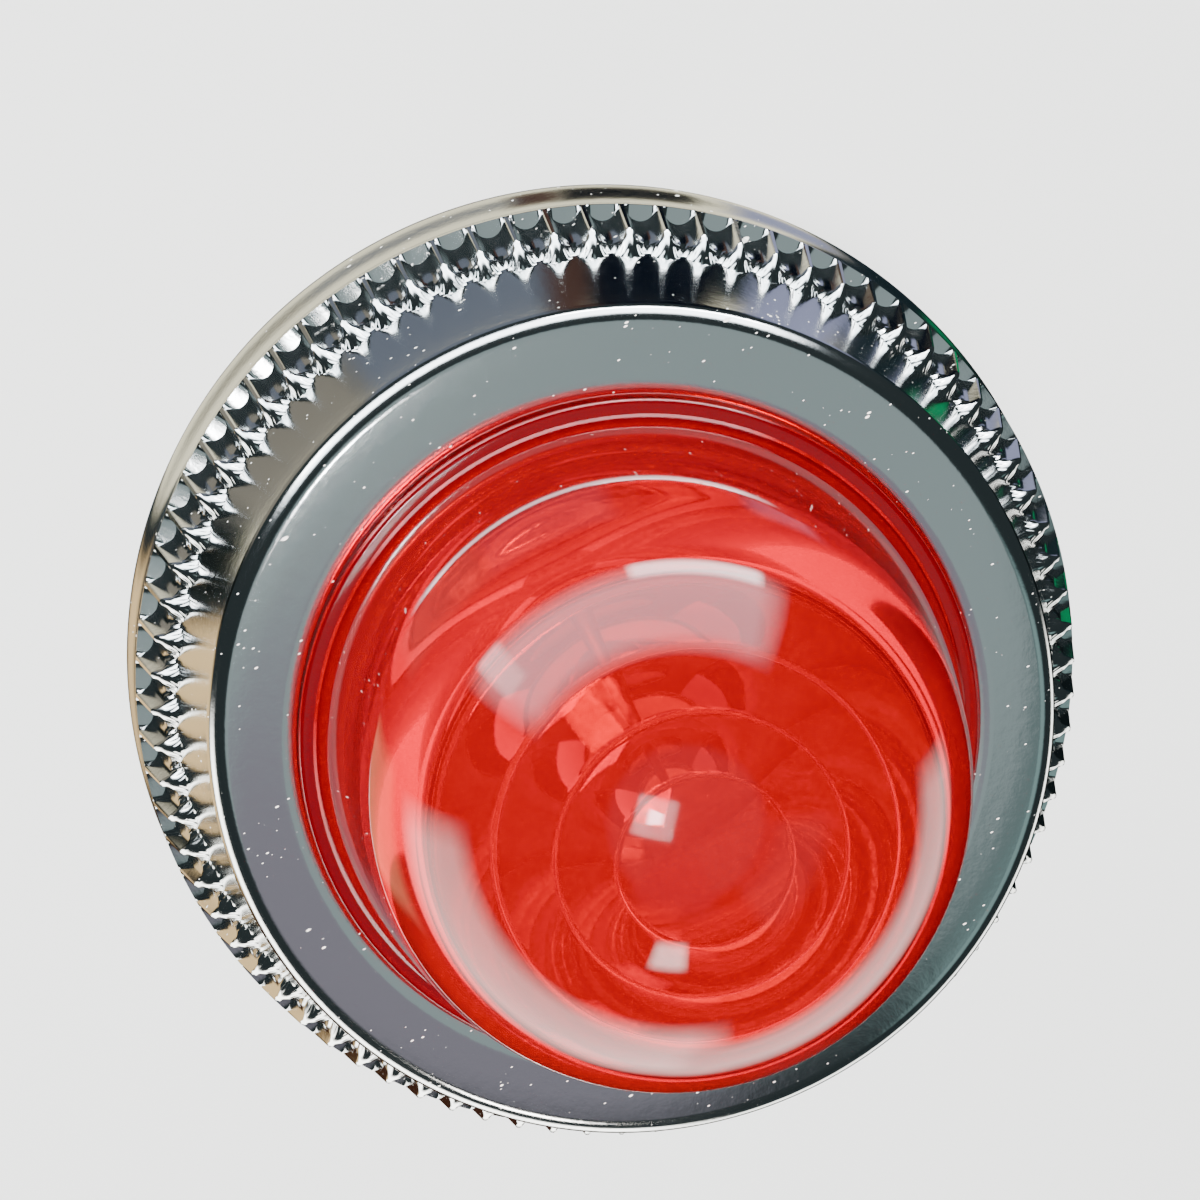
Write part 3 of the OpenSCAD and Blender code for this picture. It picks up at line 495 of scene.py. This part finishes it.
# Each soft card: middle, half size, softness, colour, strength
CARDS = [
    ((0, 90), (180, 27), 4, "#8c9a9a", 1.25),
    ((35, 50), (25, 10), 8, "#7f9a98", 1.2),
    ((325, 68), (28, 10), 10, "#8d8994", 1.0),
    ((0, -90), (180, 20), 10, "#46525e", 1.0),
    ((170, -64), (70, 8), 5, "#f0e8c8", 1.6),
    ((139, -50), (12, 12), 4, "#101c2e", 0.4),
    ((155, -50), (4, 11), 3, "#5a4038", 0.8),
    ((178, -48), (19, 9), 5, "#7f8796", 0.8),
    ((213, -48), (16, 9), 6, "#a09a8c", 0.8),
    ((239, -48), (6, 8), 4, "#26302e", 0.4),
    ((268, -48), (18, 16), 6, "#ecc890", 1.6),
    ((318, -48), (34, 16), 8, "#4a2c20", 0.8),
    ((112, -54), (9, 9), 5, "#8f93b0", 1.4),
    ((88, -56), (15, 12), 6, "#22343a", 0.6),
    ((82, -58), (3, 4), 2, "#10a060", 1.0),
    ((40, -50), (34, 22), 8, "#1c2628", 0.5),
    ((168, 10), (46, 16), 10, "#eef6fa", 9.0),
    ((144, -7), (18, 3), 3, "#ffffff", 30.0),
    ((208, 1), (4, 10), 3, "#ffffff", 14.0),
    ((300, -8), (44, 14), 10, "#f4f2ea", 8.0),
    ((20, -15), (40, 9), 8, "#f4f2ea", 5.0),
    ((329, 41), (6, 5), 4, "#fff8f0", 20.0),
    ((232, 79), (12, 2.5), 2, "#ffffff", 50.0),
]


def studio_world():
    """Pale behind the light for the camera, and a dim room with soft cards for everything else."""
    world = bpy.data.worlds.new("studio")
    world.use_nodes = True
    bpy.context.scene.world = world
    tree = world.node_tree
    tree.nodes.clear()
    way = add(tree, "ShaderNodeTexCoord").outputs["Generated"]
    parts = add(tree, "ShaderNodeSeparateXYZ", {0: way})
    flat = add(tree, "ShaderNodeCombineXYZ", {0: parts.outputs[0], 1: parts.outputs[1]}).outputs[0]
    level = add(tree, "ShaderNodeVectorMath", {0: flat}, operation="NORMALIZE").outputs[0]
    rise = calc(tree, "DEGREES", calc(tree, "ARCSINE", parts.outputs[2]))
    sky = add(tree, "ShaderNodeRGB")
    sky.outputs[0].default_value = [c * 0.6 for c in linear("#3c4648")[:3]] + [1.0]
    colour = sky.outputs[0]
    for middle, half, soft, hex_colour, strength in CARDS:
        colour = card(tree, (level, rise), colour, middle, half, soft, hex_colour, strength)
    room = add(tree, "ShaderNodeBackground", {"Color": colour, "Strength": 1.0})
    plain = add(tree, "ShaderNodeBackground", {"Color": linear("#f2f2f0"), "Strength": 1.0})
    path = add(tree, "ShaderNodeLightPath")
    both = add(tree, "ShaderNodeMixShader", {0: path.outputs["Is Camera Ray"], 1: room.outputs[0],
                                             2: plain.outputs[0]})
    out = add(tree, "ShaderNodeOutputWorld")
    tree.links.new(both.outputs[0], out.inputs["Surface"])


def soft_lamp(name, direction, distance, size, power):
    """A white square area light that looks at the cap from that azimuth and elevation."""
    azimuth, elevation = (math.radians(a) for a in direction)
    towards = Vector((math.cos(azimuth) * math.cos(elevation), math.sin(azimuth) * math.cos(elevation),
                      math.sin(elevation)))
    data = bpy.data.lights.new(name, "AREA")
    data.size, data.energy = size, power
    lamp = bpy.data.objects.new(name, data)
    bpy.context.scene.collection.objects.link(lamp)
    turn = towards.to_track_quat("Z", "Y").to_matrix().to_4x4()
    turn.translation = towards * distance + Vector((0, 0, FACE_Z * MM))
    lamp.matrix_world = turn


studio_camera()
floor()
studio_world()
soft_lamp("key", (232, 79), 0.5, 0.12, 10.0)
bpy.data.objects["key"].visible_glossy = False
